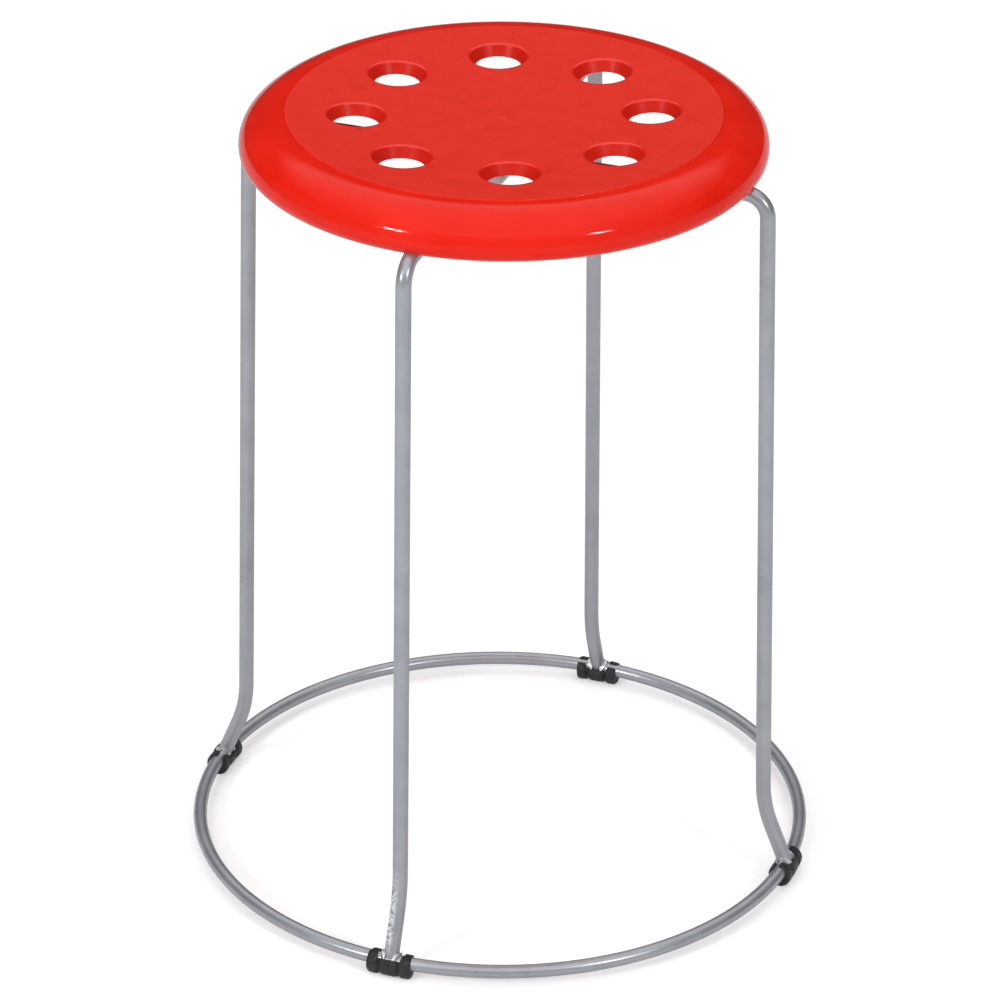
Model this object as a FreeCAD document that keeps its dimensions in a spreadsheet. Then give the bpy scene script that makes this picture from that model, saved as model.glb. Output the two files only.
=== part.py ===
"""Stacking stool: a dished moulded seat screwed to a welded frame of bent rods.

Millimetres, +Z up. The origin is on the floor, on the stool's axis. The four legs
stand on +X, -X, +Y and -Y, and the holes of the seat lie midway between them.
"""

import FreeCAD, Part
import math
import os
import re
import Sketcher

SIZES = {
    # overall
    "seat_height": 450.0,
    "seat_radius": 144.2,
    "ring_radius": 174.6,
    # seat shell
    "shell_wall": 3.0,
    "rim_width": 25.4,
    "dish_depth": 3.8,
    "dish_edge_step": 0.5,
    "crest_drop": 0.6,
    "rim_top_round": 26.0,
    "rim_side_round": 15.0,
    "rim_lip_round": 8.0,
    "rim_top_turn": 42.5,
    "rim_lip_turn": 65.0,
    "lip_edge_round": 0.9,
    # holes of the seat
    "hole_count": 8,
    "hole_inset": 38.8,
    "hole_throat_radius": 12.9,
    "hole_edge_round": 4.2,
    "hole_depth": 6.5,
    "collar_wall": 2.4,
    # ribs under the seat
    "rib_wall": 2.4,
    "rib_depth": 5.0,
    "rib_circle_gap": 30.0,
    "rib_circle_inset": 8.8,
    "hub_radius": 16.0,
    "hub_clearance": 0.3,
    # saddles of the seat on the rods
    "saddle_width": 17.0,
    "saddle_inset": 24.2,
    "saddle_grip": 1.8,
    "rod_fit": 0.15,
    # screws, tabs and bosses
    "screw_diameter": 4.0,
    "screw_length": 14.0,
    "screw_head_diameter": 8.2,
    "screw_head_height": 2.6,
    "screw_head_round": 1.5,
    "screw_hole_fit": 0.25,
    "recess_length": 4.6,
    "recess_width": 1.0,
    "recess_depth": 1.5,
    "boss_radius": 5.0,
    "boss_inset": 32.2,
    "tab_length": 16.0,
    "tab_thickness": 2.2,
    "tab_overhang": 5.5,
    "tab_corner_round": 4.0,
    # rods of the frame
    "leg_rod": 8.6,
    "ring_rod": 7.7,
    "rod_drop": 27.5,
    "top_bend_radius": 13.0,
    "leg_lean": 1.415,
    "knee_spread": 15.2,
    "knee_height": 60.0,
    "flare_angle": 22.5,
    "flare_bend_radius": 75.0,
    "leg_end_gap": 1.8,
    "dip_flat": 9.0,
    "dip_bend_radius": 20.0,
    # welds
    "weld_size": 1.5,
    "weld_split": 5.0,
    "weld_run": 8.0,
    "crossing_weld_radius": 6.2,
    "crossing_weld_height": 3.6,
    # feet
    "foot_length": 25.0,
    "foot_lobe": 6.7,
    "foot_waist": 5.6,
    "foot_sink": 0.45,
    "foot_end_lobe": 6.0,
    "foot_middle_lobe": 9.6,
    "foot_lobe_round": 1.05,
    "foot_fit": 0.06,
    "foot_mouth": 5.6,
    "ring_height": 8.7,
    "outer_wall_rise": 4.9,
    "inner_wall_rise": 2.6,
    "leg_notch_width": 14.0,
    "leg_notch_drop": 0.4,
    "leg_notch_bite": 5.5,
}

# Places that follow from the sizes, so that the pieces keep together
FOLLOWING = {
    "rod_height": "seat_height - rod_drop",
    "dish_radius": "seat_radius - rim_width",
    "dish_round": "(dish_radius ^ 2 + dish_depth ^ 2) / (2 * dish_depth)",
    "hole_pitch_radius": "dish_radius - hole_inset",
    "rib_circle_inner": "hole_pitch_radius - rib_circle_gap",
    "rib_circle_outer": "dish_radius - rib_circle_inset",
    "saddle_start": "seat_radius - saddle_inset",
    "boss_reach": "seat_radius - boss_inset",
    "knee_radius": "ring_radius - knee_spread",
}

doc = FreeCAD.newDocument("stacking_stool")
sheet = doc.addObject("Spreadsheet::Sheet", "Sizes")
cells = {alias: str(amount) for alias, amount in SIZES.items()}
cells.update({alias: f"={formula}" for alias, formula in FOLLOWING.items()})
for row, (alias, content) in enumerate(cells.items(), start=1):
    sheet.set(f"A{row}", alias)
    sheet.set(f"B{row}", content)
    sheet.setAlias(f"B{row}", alias)
    doc.recompute()

ALIAS = re.compile(r"\b(" + "|".join(cells) + r")\b")
LEG_COUNT = 4
LEG_TURNS = {"right": 0.0, "back": 90.0, "left": 180.0, "front": 270.0}
NEARLY = 0.01


def bound(formula):
    """The formula with each size's name tied to its cell of the sheet."""
    return ALIAS.sub(r"Sizes.\1", formula)


def size(formula):
    """The number that a formula of sizes gives now."""
    found = sheet.evalExpression(bound(formula))
    return float(found.Value if hasattr(found, "Value") else found)


# Formulas that more than one piece uses

DISH_LOW = "(seat_height - dish_depth)"
RIM_CREST = "(seat_height - crest_drop)"
ROUND_GAP = "(rim_top_round - rim_side_round)"
RIM_TOP_X = f"(seat_radius - rim_side_round - {ROUND_GAP} * sin(rim_top_turn * 1 deg))"
RIM_TOP_Z = f"({RIM_CREST} - rim_top_round)"
RIM_WIDEST_Z = f"({RIM_TOP_Z} + {ROUND_GAP} * cos(rim_top_turn * 1 deg))"
RIM_LIP_X = "(seat_radius - rim_lip_round)"
HOLE_LEVEL = f"({DISH_LOW} + dish_depth * (hole_pitch_radius / dish_radius) ^ 2)"
ROD_TOP = "(rod_height + leg_rod / 2)"
TAB_TOP = "(rod_height + tab_thickness / 2)"
BOSS_OFFSET = "(leg_rod / 2 + tab_overhang + screw_hole_fit + screw_diameter / 4)"
FOOT_CENTRE_Z = "(foot_lobe - foot_sink)"


def origin_plane(body, role):
    """One of the body's own base planes."""
    return [item for item in body.Origin.OriginFeatures if item.Role == role][0]


def new_body(name, turn=0.0):
    """An empty body, turned about the stool's axis."""
    body = doc.addObject("PartDesign::Body", name)
    body.Label = name
    body.Placement = FreeCAD.Placement(
        FreeCAD.Vector(0, 0, 0), FreeCAD.Rotation(FreeCAD.Vector(0, 0, 1), turn)
    )
    doc.recompute()
    return body


def new_sketch(body, name, role="XZ_Plane", offset=None):
    """A sketch on one of the body's base planes, moved along the plane's normal."""
    sketch = body.newObject("Sketcher::SketchObject", f"{body.Name}_{name}")
    sketch.AttachmentSupport = [(origin_plane(body, role), "")]
    sketch.MapMode = "FlatFace"
    if offset:
        sketch.setExpression("AttachmentOffset.Base.z", bound(offset))
    doc.recompute()
    return sketch


def hold_point(sketch, element, end, spot):
    """Ties one end of a line or arc to the two formulas of its place."""
    kinds = (("DistanceX", -2, spot[0]), ("DistanceY", -1, spot[1]))
    for kind, axis, formula in kinds:
        amount = size(formula)
        if abs(amount) < NEARLY ** 3:
            sketch.addConstraint(Sketcher.Constraint("PointOnObject", element, end, axis))
        else:
            rule = Sketcher.Constraint(kind, -1, 1, element, end, amount)
            index = sketch.addConstraint(rule)
            sketch.setExpression(f"Constraints[{index}]", bound(formula))


def arc_between(start, end, radius, side):
    """The arc of a radius from start to end, turning left for side +1 and right for -1."""
    middle = (start + end) * 0.5
    chord = end - start
    rise = math.sqrt(max(radius ** 2 - (chord.Length / 2) ** 2, 0.0))
    normal = FreeCAD.Vector(-chord.y, chord.x, 0).normalize()
    centre = middle + normal * rise * side
    circle = Part.Circle(centre, FreeCAD.Vector(0, 0, 1), radius)
    first = math.atan2(start.y - centre.y, start.x - centre.x)
    last = math.atan2(end.y - centre.y, end.x - centre.x)
    return Part.ArcOfCircle(circle, *((first, last) if side > 0 else (last, first)))


def draw(sketch, steps, closed=True):
    """Draws an outline. A step is (x, y) for a straight run to that point, or
    (x, y, radius, side) for an arc to it. The first step is where the outline starts."""
    spots = [FreeCAD.Vector(size(step[0]), size(step[1]), 0) for step in steps]
    count = len(steps) if closed else len(steps) - 1
    ends = []
    for index in range(count):
        target = (index + 1) % len(steps)
        start, end, step = spots[index], spots[target], steps[target]
        if len(step) == 2 or target == 0:
            element = sketch.addGeometry(Part.LineSegment(start, end), False)
            ends.append((element, 1, 2))
        else:
            arc = arc_between(start, end, size(step[2]), step[3])
            element = sketch.addGeometry(arc, False)
            ends.append((element, 1, 2) if step[3] > 0 else (element, 2, 1))
            index_radius = sketch.addConstraint(
                Sketcher.Constraint("Radius", element, size(step[2]))
            )
            sketch.setExpression(f"Constraints[{index_radius}]", bound(step[2]))
    for index, (element, first, last) in enumerate(ends):
        hold_point(sketch, element, first, steps[index])
        if index + 1 < len(ends):
            after = ends[index + 1]
            sketch.addConstraint(
                Sketcher.Constraint("Coincident", element, last, after[0], after[1])
            )
        elif closed:
            sketch.addConstraint(
                Sketcher.Constraint("Coincident", element, last, ends[0][0], ends[0][1])
            )
        else:
            hold_point(sketch, element, last, steps[index + 1])
    doc.recompute()


def draw_circle(sketch, x, y, radius):
    """A circle whose centre and radius are formulas."""
    centre = FreeCAD.Vector(size(x), size(y), 0)
    shape = Part.Circle(centre, FreeCAD.Vector(0, 0, 1), size(radius))
    element = sketch.addGeometry(shape, False)
    hold_point(sketch, element, 3, (x, y))
    index = sketch.addConstraint(Sketcher.Constraint("Radius", element, size(radius)))
    sketch.setExpression(f"Constraints[{index}]", bound(radius))
    doc.recompute()


def revolve(body, sketch, kind="PartDesign::Revolution"):
    """Turns a sketch of an upright plane right round the body's Z axis."""
    feature = body.newObject(kind, f"{sketch.Name}_turned")
    feature.Profile = sketch
    feature.ReferenceAxis = (sketch, ["V_Axis"])
    feature.Angle = 360.0
    doc.recompute()
    return feature


def pad(body, sketch, length, both_ways=False, kind="PartDesign::Pad"):
    """Thickens a sketch along its normal, or cuts it out for a Pocket."""
    feature = body.newObject(kind, f"{sketch.Name}_run")
    feature.Profile = sketch
    if both_ways:
        feature.Midplane = True
    feature.setExpression("Length", bound(length))
    doc.recompute()
    return feature


def repeat(body, feature, count):
    """Repeats a feature round the body's Z axis."""
    pattern = body.newObject("PartDesign::PolarPattern", f"{feature.Name}_round")
    pattern.Originals = [feature]
    pattern.Axis = (origin_plane(body, "Z_Axis"), [""])
    pattern.Angle = 360.0
    pattern.setExpression("Occurrences", bound(count))
    body.Tip = pattern
    doc.recompute()
    return pattern


def mirror(body, feature, role):
    """Adds the feature's mirror image in one of the body's base planes."""
    copy = body.newObject("PartDesign::Mirrored", f"{feature.Name}_mirror")
    copy.Originals = [feature]
    copy.MirrorPlane = (origin_plane(body, role), [""])
    body.Tip = copy
    doc.recompute()
    return copy


def round_edges(body, base, radius, wanted):
    """Rounds the edges of a feature that the test function wants."""
    names = [f"Edge{i}" for i, edge in enumerate(base.Shape.Edges, start=1) if wanted(edge)]
    fillet = body.newObject("PartDesign::Fillet", f"{base.Name}_round")
    fillet.Base = (base, names)
    fillet.setExpression("Radius", bound(radius))
    doc.recompute()
    return fillet


# Seat

def rim_spot(centre_x, centre_z, radius, turn):
    """A point of a rim arc, by its turn from the vertical."""
    x = f"{centre_x} + ({radius}) * sin({turn} * 1 deg)"
    z = f"{centre_z} + ({radius}) * cos({turn} * 1 deg)"
    return x, z


def rim_curve(inset):
    """The rim from its crest round to the lip, moved inward by an inset."""
    top = f"(rim_top_round - {inset})"
    side = f"(rim_side_round - {inset})"
    lip = f"(rim_lip_round - {inset})"
    crest = rim_spot(RIM_TOP_X, RIM_TOP_Z, top, "0")
    shoulder = rim_spot(RIM_TOP_X, RIM_TOP_Z, top, "rim_top_turn")
    widest = (f"seat_radius - {inset}", RIM_WIDEST_Z)
    end = rim_spot(RIM_LIP_X, RIM_WIDEST_Z, lip, "(90 + rim_lip_turn)")
    return crest, (shoulder, top), (widest, side), (end, lip)


def seat_shell(body):
    """Dished top, raised edge of the dish, and a rim that curls under to a lip."""
    crest, shoulder, widest, end = rim_curve("0")
    inner_crest, inner_shoulder, inner_widest, inner_end = rim_curve("shell_wall")
    step_x = "dish_radius + dish_edge_step"
    steps = [
        ("0", DISH_LOW),
        ("dish_radius", "seat_height", "dish_round", 1),
        (step_x, "seat_height - dish_edge_step", "dish_edge_step", -1),
        crest,
        (*shoulder[0], shoulder[1], -1),
        (*widest[0], widest[1], -1),
        (*end[0], end[1], -1),
        inner_end[0],
        (*inner_widest[0], inner_end[1], 1),
        (*inner_shoulder[0], inner_widest[1], 1),
        (*inner_crest, inner_shoulder[1], 1),
        ("dish_radius", "seat_height - shell_wall"),
        ("0", f"{DISH_LOW} - shell_wall", "dish_round", -1),
    ]
    sketch = new_sketch(body, "shell")
    draw(sketch, steps)
    shell = revolve(body, sketch)
    lip_z = size(end[0][1])

    def lip_edge(edge):
        box = edge.BoundBox
        low = box.ZMax < lip_z + size("shell_wall") and box.ZLength < NEARLY
        return low and box.XLength > size("seat_radius")

    return round_edges(body, shell, "lip_edge_round", lip_edge)


def under_dish(rise):
    """Formula for the height of the dish at its centre, less a depth."""
    return f"{DISH_LOW} - {rise}"


def circular_ribs(body):
    """Two rib circles and the hub that rests on the crossing rods."""
    inside = "shell_wall / 2"
    rings = (
        ("hub_radius", f"{ROD_TOP} + hub_clearance"),
        ("rib_circle_inner", under_dish("shell_wall - rib_depth")),
        ("rib_circle_outer", under_dish("shell_wall - rib_depth")),
    )
    sketch = new_sketch(body, "rings")
    for radius, foot in rings:
        inner = f"({radius} - rib_wall)"
        top = f"{DISH_LOW} + dish_depth * ({inner} / dish_radius) ^ 2 - {inside}"
        draw(sketch, [(inner, foot), (radius, foot), (radius, top), (inner, top)])
    return revolve(body, sketch)


def radial_ribs(body):
    """One rib from the hub to the outer rib circle, under every gap between holes."""
    foot = under_dish("shell_wall - rib_depth")
    start = "hub_radius - rib_wall / 2"
    end = "rib_circle_outer - rib_wall / 2"
    level = "{} + dish_depth * (({}) / dish_radius) ^ 2 - shell_wall / 2"
    sketch = new_sketch(body, "rib")
    draw(sketch, [
        (start, foot),
        (end, foot),
        (end, level.format(DISH_LOW, end)),
        (start, level.format(DISH_LOW, start), "dish_round", -1),
    ])
    rib = pad(body, sketch, "rib_wall", both_ways=True)
    return repeat(body, rib, "hole_count")


def hole_spot():
    """Where the first hole's centre lies, half a step from the +X leg."""
    turn = "(180 / hole_count * 1 deg)"
    return f"hole_pitch_radius * cos{turn}", f"hole_pitch_radius * sin{turn}"


def hole_collars(body):
    """A short tube under each hole."""
    sketch = new_sketch(body, "collar", "XY_Plane", f"{HOLE_LEVEL} - hole_depth")
    draw_circle(sketch, *hole_spot(), "hole_throat_radius + collar_wall")
    collar = pad(body, sketch, "hole_depth - shell_wall / 2")
    return repeat(body, collar, "hole_count")


def hole_cuts(body):
    """The holes, with a broad round on their upper edge."""
    sketch = new_sketch(body, "hole", "XY_Plane", f"{HOLE_LEVEL} - 2 * hole_depth")
    draw_circle(sketch, *hole_spot(), "hole_throat_radius")
    cut = pad(body, sketch, "3 * hole_depth", kind="PartDesign::Pocket")
    cut.Reversed = True
    doc.recompute()
    holes = repeat(body, cut, "hole_count")
    throat = size("hole_throat_radius")
    pitch = size("hole_pitch_radius")
    level = size(f"{HOLE_LEVEL} - shell_wall / 2")

    def upper_edge(edge):
        box = edge.BoundBox
        centre = box.Center
        round_hole = max(abs(box.XLength - 2 * throat), abs(box.YLength - 2 * throat)) < 10 * NEARLY
        on_circle = abs(math.hypot(centre.x, centre.y) - pitch) < throat
        return round_hole and on_circle and box.ZMin > level

    return round_edges(body, holes, "hole_edge_round", upper_edge)


def rod_saddles(body):
    """Blocks inside the rim that sit on the rods."""
    foot = "rod_height + saddle_grip"
    crest, shoulder, widest, end = rim_curve("shell_wall / 2")
    top = f"{DISH_LOW} + dish_depth * (saddle_start / dish_radius) ^ 2 - shell_wall / 2 - crest_drop"
    sketch = new_sketch(body, "saddle")
    draw(sketch, [
        ("saddle_start", foot),
        (end[0][0], foot),
        (*widest[0],),
        (*shoulder[0], widest[1], 1),
        (*crest, shoulder[1], 1),
        ("saddle_start", top),
    ])
    block = pad(body, sketch, "saddle_width", both_ways=True)
    return repeat(body, block, str(LEG_COUNT))


def saddle_hollows(body):
    """Cells that leave each saddle as three cross ribs between two cheeks."""
    depth = "(seat_height - rod_height) / 2"
    half = "(saddle_width / 2 - rib_wall)"
    span = "((seat_radius - shell_wall) - saddle_start - 4 * rib_wall) / 2"
    first = "(saddle_start + rib_wall)"
    sketch = new_sketch(body, "cells", "XY_Plane", "rod_height")
    for start in (first, f"({first} + {span} + rib_wall)"):
        end = f"{start} + {span}"
        draw(sketch, [(start, f"-{half}"), (end, f"-{half}"), (end, half), (start, half)])
    cells = pad(body, sketch, depth, kind="PartDesign::Pocket")
    cells.Reversed = True
    doc.recompute()
    return repeat(body, cells, str(LEG_COUNT))


def rod_channels(body):
    """Half-round channels over the rods, through the saddles and the lip."""
    half = "(leg_rod / 2 + rod_fit)"
    low = "rod_height - leg_rod"
    sketch = new_sketch(body, "channel", "YZ_Plane", "saddle_start - rib_wall")
    draw(sketch, [
        (f"-{half}", low),
        (half, low),
        (half, "rod_height"),
        ("0", f"rod_height + {half}", half, 1),
        (f"-{half}", "rod_height", half, 1),
    ])
    channel = pad(body, sketch, "seat_radius - saddle_start + 2 * rib_wall", kind="PartDesign::Pocket")
    channel.Reversed = True
    doc.recompute()
    return repeat(body, channel, str(LEG_COUNT))


def screw_bosses(body):
    """Bosses that stand on the tabs, and their bores for the screws."""
    top = f"{DISH_LOW} + dish_depth * (boss_reach / dish_radius) ^ 2 - shell_wall / 2"
    sketch = new_sketch(body, "boss", "XY_Plane", TAB_TOP)
    draw_circle(sketch, "boss_reach", BOSS_OFFSET, "boss_radius")
    boss = pad(body, sketch, f"{top} - {TAB_TOP}")
    repeat(body, boss, str(LEG_COUNT))
    bore_sketch = new_sketch(body, "bore", "XY_Plane", TAB_TOP)
    draw_circle(bore_sketch, "boss_reach", BOSS_OFFSET, "screw_diameter / 2 + rod_fit / 2")
    bore = pad(body, bore_sketch, "screw_length", kind="PartDesign::Pocket")
    bore.Reversed = True
    doc.recompute()
    return repeat(body, bore, str(LEG_COUNT))


def make_seat():
    """The moulded seat."""
    body = new_body("seat")
    seat_shell(body)
    circular_ribs(body)
    radial_ribs(body)
    hole_collars(body)
    rod_saddles(body)
    saddle_hollows(body)
    screw_bosses(body)
    rod_channels(body)
    hole_cuts(body)
    return body


# Frame

LEAN_SLOPE = "tan(leg_lean * 1 deg)"
FLARE_SLOPE = "tan(flare_angle * 1 deg)"
KNEE_Z = (f"((ring_radius - knee_radius + {FLARE_SLOPE} * ring_height"
          f" - {LEAN_SLOPE} * knee_height) / ({FLARE_SLOPE} - {LEAN_SLOPE}))")
KNEE_X = f"(ring_radius - {FLARE_SLOPE} * ({KNEE_Z} - ring_height))"
KNEE_REACH = "(flare_bend_radius * tan((flare_angle - leg_lean) / 2 * 1 deg))"
CORNER_X = f"(knee_radius - {LEAN_SLOPE} * (rod_height - knee_height))"
CORNER_REACH = "(top_bend_radius * tan((90 - leg_lean) / 2 * 1 deg))"


def hoop_route(dipped):
    """The centre line of half a hoop, from the stool's axis out and down to the ring."""
    if dipped:
        drop = "leg_rod"
        turn = f"acos(1 - {drop} / (2 * dip_bend_radius))"
        low = f"(rod_height - {drop})"
        middle = (f"dip_flat + dip_bend_radius * sin({turn})", f"{low} + {drop} / 2")
        steps = [
            ("0", low),
            ("dip_flat", low),
            (*middle, "dip_bend_radius", 1),
            (f"dip_flat + 2 * dip_bend_radius * sin({turn})", "rod_height", "dip_bend_radius", -1),
        ]
    else:
        steps = [("0", "rod_height")]
    steps += [
        (f"{CORNER_X} - {CORNER_REACH}", "rod_height"),
        (f"{CORNER_X} + {CORNER_REACH} * sin(leg_lean * 1 deg)",
         f"rod_height - {CORNER_REACH} * cos(leg_lean * 1 deg)", "top_bend_radius", -1),
        (f"{KNEE_X} - {KNEE_REACH} * sin(leg_lean * 1 deg)",
         f"{KNEE_Z} + {KNEE_REACH} * cos(leg_lean * 1 deg)"),
        (f"{KNEE_X} + {KNEE_REACH} * sin(flare_angle * 1 deg)",
         f"{KNEE_Z} - {KNEE_REACH} * cos(flare_angle * 1 deg)", "flare_bend_radius", 1),
        ("ring_radius - leg_end_gap * sin(flare_angle * 1 deg)",
         "ring_height + leg_end_gap * cos(flare_angle * 1 deg)"),
    ]
    return steps


def make_hoop(name, turn, dipped):
    """Two legs and the run between them under the seat, bent from one rod."""
    body = new_body(name, turn)
    route = hoop_route(dipped)
    spine = new_sketch(body, "route")
    draw(spine, route, closed=False)
    section = new_sketch(body, "section", "YZ_Plane")
    draw_circle(section, "0", route[0][1], "leg_rod / 2")
    half = body.newObject("PartDesign::AdditivePipe", f"{name}_bent")
    half.Profile = section
    half.Spine = (spine, [])
    doc.recompute()
    mirror(body, half, "YZ_Plane")
    cope = new_sketch(body, "cope")
    draw_circle(cope, "ring_radius", "ring_height", "ring_rod / 2")
    revolve(body, cope, "PartDesign::Groove")
    return body


def make_floor_ring():
    """The closed ring that joins the legs near the floor."""
    ring = doc.addObject("Part::Torus", "floor_ring")
    ring.Label = "floor_ring"
    ring.setExpression("Radius1", bound("ring_radius"))
    ring.setExpression("Radius2", bound("ring_rod / 2"))
    ring.setExpression("Placement.Base.z", bound("ring_height"))
    return ring


def add_primitive(kind, name, sizes):
    """A plain solid whose dimensions are formulas."""
    item = doc.addObject(kind, name)
    for prop, formula in sizes.items():
        item.setExpression(prop, bound(formula))
    return item


def combine(kind, name, base, tool):
    """A boolean of two solids."""
    item = doc.addObject(kind, name)
    item.Base = base
    item.Tool = tool
    return item


def leg_end_cylinder(name, radius, length):
    """A cylinder round the straight end of the +X leg, starting at the ring's centre line."""
    item = add_primitive("Part::Cylinder", name, {
        "Radius": radius,
        "Height": length,
        "Placement.Base.x": "ring_radius",
        "Placement.Base.z": "ring_height",
        "Placement.Rotation.Angle": "-flare_angle",
    })
    item.Placement.Rotation.Axis = FreeCAD.Vector(0, 1, 0)
    return item


def ring_torus(name, radius):
    """A torus along the ring's centre line."""
    return add_primitive("Part::Torus", name, {
        "Radius1": "ring_radius",
        "Radius2": radius,
        "Placement.Base.z": "ring_height",
    })


def make_leg_weld(side, turn):
    """The weld on both sides of one leg's end, filling the corner on the ring."""
    name = f"leg_weld_{side}"
    sleeve = leg_end_cylinder(f"{name}_sleeve", "leg_rod / 2 + weld_size", "weld_run")
    collar = combine("Part::Common", f"{name}_collar", sleeve,
                     ring_torus(f"{name}_hug", "ring_rod / 2 + weld_size"))
    open_leg = combine("Part::Cut", f"{name}_open", collar,
                       leg_end_cylinder(f"{name}_leg", "leg_rod / 2", "2 * weld_run"))
    open_ring = combine("Part::Cut", f"{name}_seated", open_leg,
                        ring_torus(f"{name}_ring", "ring_rod / 2"))
    gap = add_primitive("Part::Box", f"{name}_gap", {
        "Length": "4 * weld_run",
        "Width": "weld_split",
        "Height": "4 * weld_run",
        "Placement.Base.x": "ring_radius - 2 * weld_run",
        "Placement.Base.y": "-weld_split / 2",
    })
    upper = combine("Part::Cut", f"{name}_split", open_ring, gap)
    low = add_primitive("Part::Box", f"{name}_low", {
        "Length": "4 * weld_run",
        "Width": "4 * weld_run",
        "Height": "2 * weld_run",
        "Placement.Base.x": "ring_radius - 2 * weld_run",
        "Placement.Base.y": "-2 * weld_run",
        "Placement.Base.z": "ring_height - 2 * weld_run",
    })
    weld = combine("Part::Cut", name, upper, low)
    weld.Label = name
    weld.Placement = FreeCAD.Placement(
        FreeCAD.Vector(0, 0, 0), FreeCAD.Rotation(FreeCAD.Vector(0, 0, 1), turn)
    )
    return weld


def rod_cylinder(name, height, along_y):
    """A straight stretch of rod through the stool's axis."""
    reach = "2 * crossing_weld_radius"
    item = add_primitive("Part::Cylinder", name, {
        "Radius": "leg_rod / 2",
        "Height": f"2 * {reach}",
        "Placement.Base.z": height,
        f"Placement.Base.{'y' if along_y else 'x'}": f"{reach}" if along_y else f"-{reach}",
    })
    axis = FreeCAD.Vector(1, 0, 0) if along_y else FreeCAD.Vector(0, 1, 0)
    item.Placement.Rotation = FreeCAD.Rotation(axis, 90)
    return item


def make_crossing_weld():
    """The weld between the two hoops where they cross."""
    contact = "(rod_height - leg_rod / 2)"
    puddle = add_primitive("Part::Cylinder", "crossing_puddle", {
        "Radius": "crossing_weld_radius",
        "Height": "crossing_weld_height",
        "Placement.Base.z": f"{contact} - crossing_weld_height / 2",
    })
    upper = combine("Part::Cut", "crossing_upper", puddle,
                    rod_cylinder("crossing_rod_x", "rod_height", False))
    weld = combine("Part::Cut", "crossing_weld", upper,
                   rod_cylinder("crossing_rod_y", "rod_height - leg_rod", True))
    weld.Label = "crossing_weld"
    return weld


# Fixing of the seat

def make_tab(side, turn):
    """A steel tab welded to the side of a rod, with a hole for a screw."""
    name = f"seat_tab_{side}"
    body = new_body(name, turn)
    near = "boss_reach - tab_length / 2"
    far = "boss_reach + tab_length / 2"
    outer = f"{BOSS_OFFSET} + tab_overhang"
    corner = "tab_corner_round"
    plate = new_sketch(body, "plate", "XY_Plane", "rod_height - tab_thickness / 2")
    draw(plate, [
        (near, "leg_rod / 4"),
        (far, "leg_rod / 4"),
        (far, f"{outer} - {corner}"),
        (f"{far} - {corner}", outer, corner, 1),
        (f"{near} + {corner}", outer),
        (near, f"{outer} - {corner}", corner, 1),
    ])
    pad(body, plate, "tab_thickness")
    hole = new_sketch(body, "hole", "XY_Plane", "rod_height - tab_thickness")
    draw_circle(hole, "boss_reach", BOSS_OFFSET, "screw_diameter / 2 + screw_hole_fit")
    cut = pad(body, hole, "2 * tab_thickness", kind="PartDesign::Pocket")
    cut.Reversed = True
    rod = new_sketch(body, "rod", "YZ_Plane")
    draw_circle(rod, "0", "rod_height", "leg_rod / 2")
    seat_cut = pad(body, rod, f"2 * ({far})", kind="PartDesign::Pocket")
    seat_cut.Reversed = True
    doc.recompute()
    return body


def make_screw(turn):
    """A pan head screw from below, with a cross recess."""
    body = new_body(f"screw_{int(turn)}", turn)
    low = f"({TAB_TOP} - tab_thickness)"
    head = new_sketch(body, "head", "XY_Plane", f"{low} - screw_head_height")
    draw_circle(head, "boss_reach", BOSS_OFFSET, "screw_head_diameter / 2")
    head_pad = pad(body, head, "screw_head_height")
    base_z = size(f"{low} - screw_head_height")

    def outer_edge(edge):
        return edge.BoundBox.ZMax < base_z + NEARLY

    round_edges(body, head_pad, "screw_head_round", outer_edge)
    shank = new_sketch(body, "shank", "XY_Plane", low)
    draw_circle(shank, "boss_reach", BOSS_OFFSET, "screw_diameter / 2")
    pad(body, shank, "screw_length")
    recess = new_sketch(body, "recess", "XY_Plane", f"{low} - screw_head_height")
    arm, slit = "recess_length / 2", "recess_width / 2"
    corners = [(arm, slit), (slit, slit), (slit, arm)]
    cross = corners + [(f"-{y}", x) for x, y in corners]
    cross += [(f"-{x}", f"-{y}") for x, y in corners]
    cross += [(y, f"-{x}") for x, y in corners]
    draw(recess, [(f"boss_reach + ({x})", f"{BOSS_OFFSET} + ({y})") for x, y in cross])
    slot = pad(body, recess, "recess_depth", kind="PartDesign::Pocket")
    slot.Reversed = True
    doc.recompute()
    return body


def make_screws():
    """The four seat screws as one group of separate solids."""
    screws = [make_screw(turn) for turn in LEG_TURNS.values()]
    group = doc.addObject("Part::Compound", "seat_screws")
    group.Label = "seat_screws"
    group.Links = screws
    return group


# Feet

def foot_section(half):
    """Outline of a foot across the ring: half-round below and straight above."""
    outer_top = f"ring_height + outer_wall_rise - (foot_lobe - {half})"
    inner_top = f"ring_height + inner_wall_rise - (foot_lobe - {half})"
    return [
        (f"ring_radius - {half}", inner_top),
        (f"ring_radius - {half}", FOOT_CENTRE_Z),
        ("ring_radius", f"{FOOT_CENTRE_Z} - {half}", half, 1),
        (f"ring_radius + {half}", FOOT_CENTRE_Z, half, 1),
        (f"ring_radius + {half}", outer_top),
        ("ring_radius", outer_top),
        ("ring_radius", inner_top),
    ]


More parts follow.
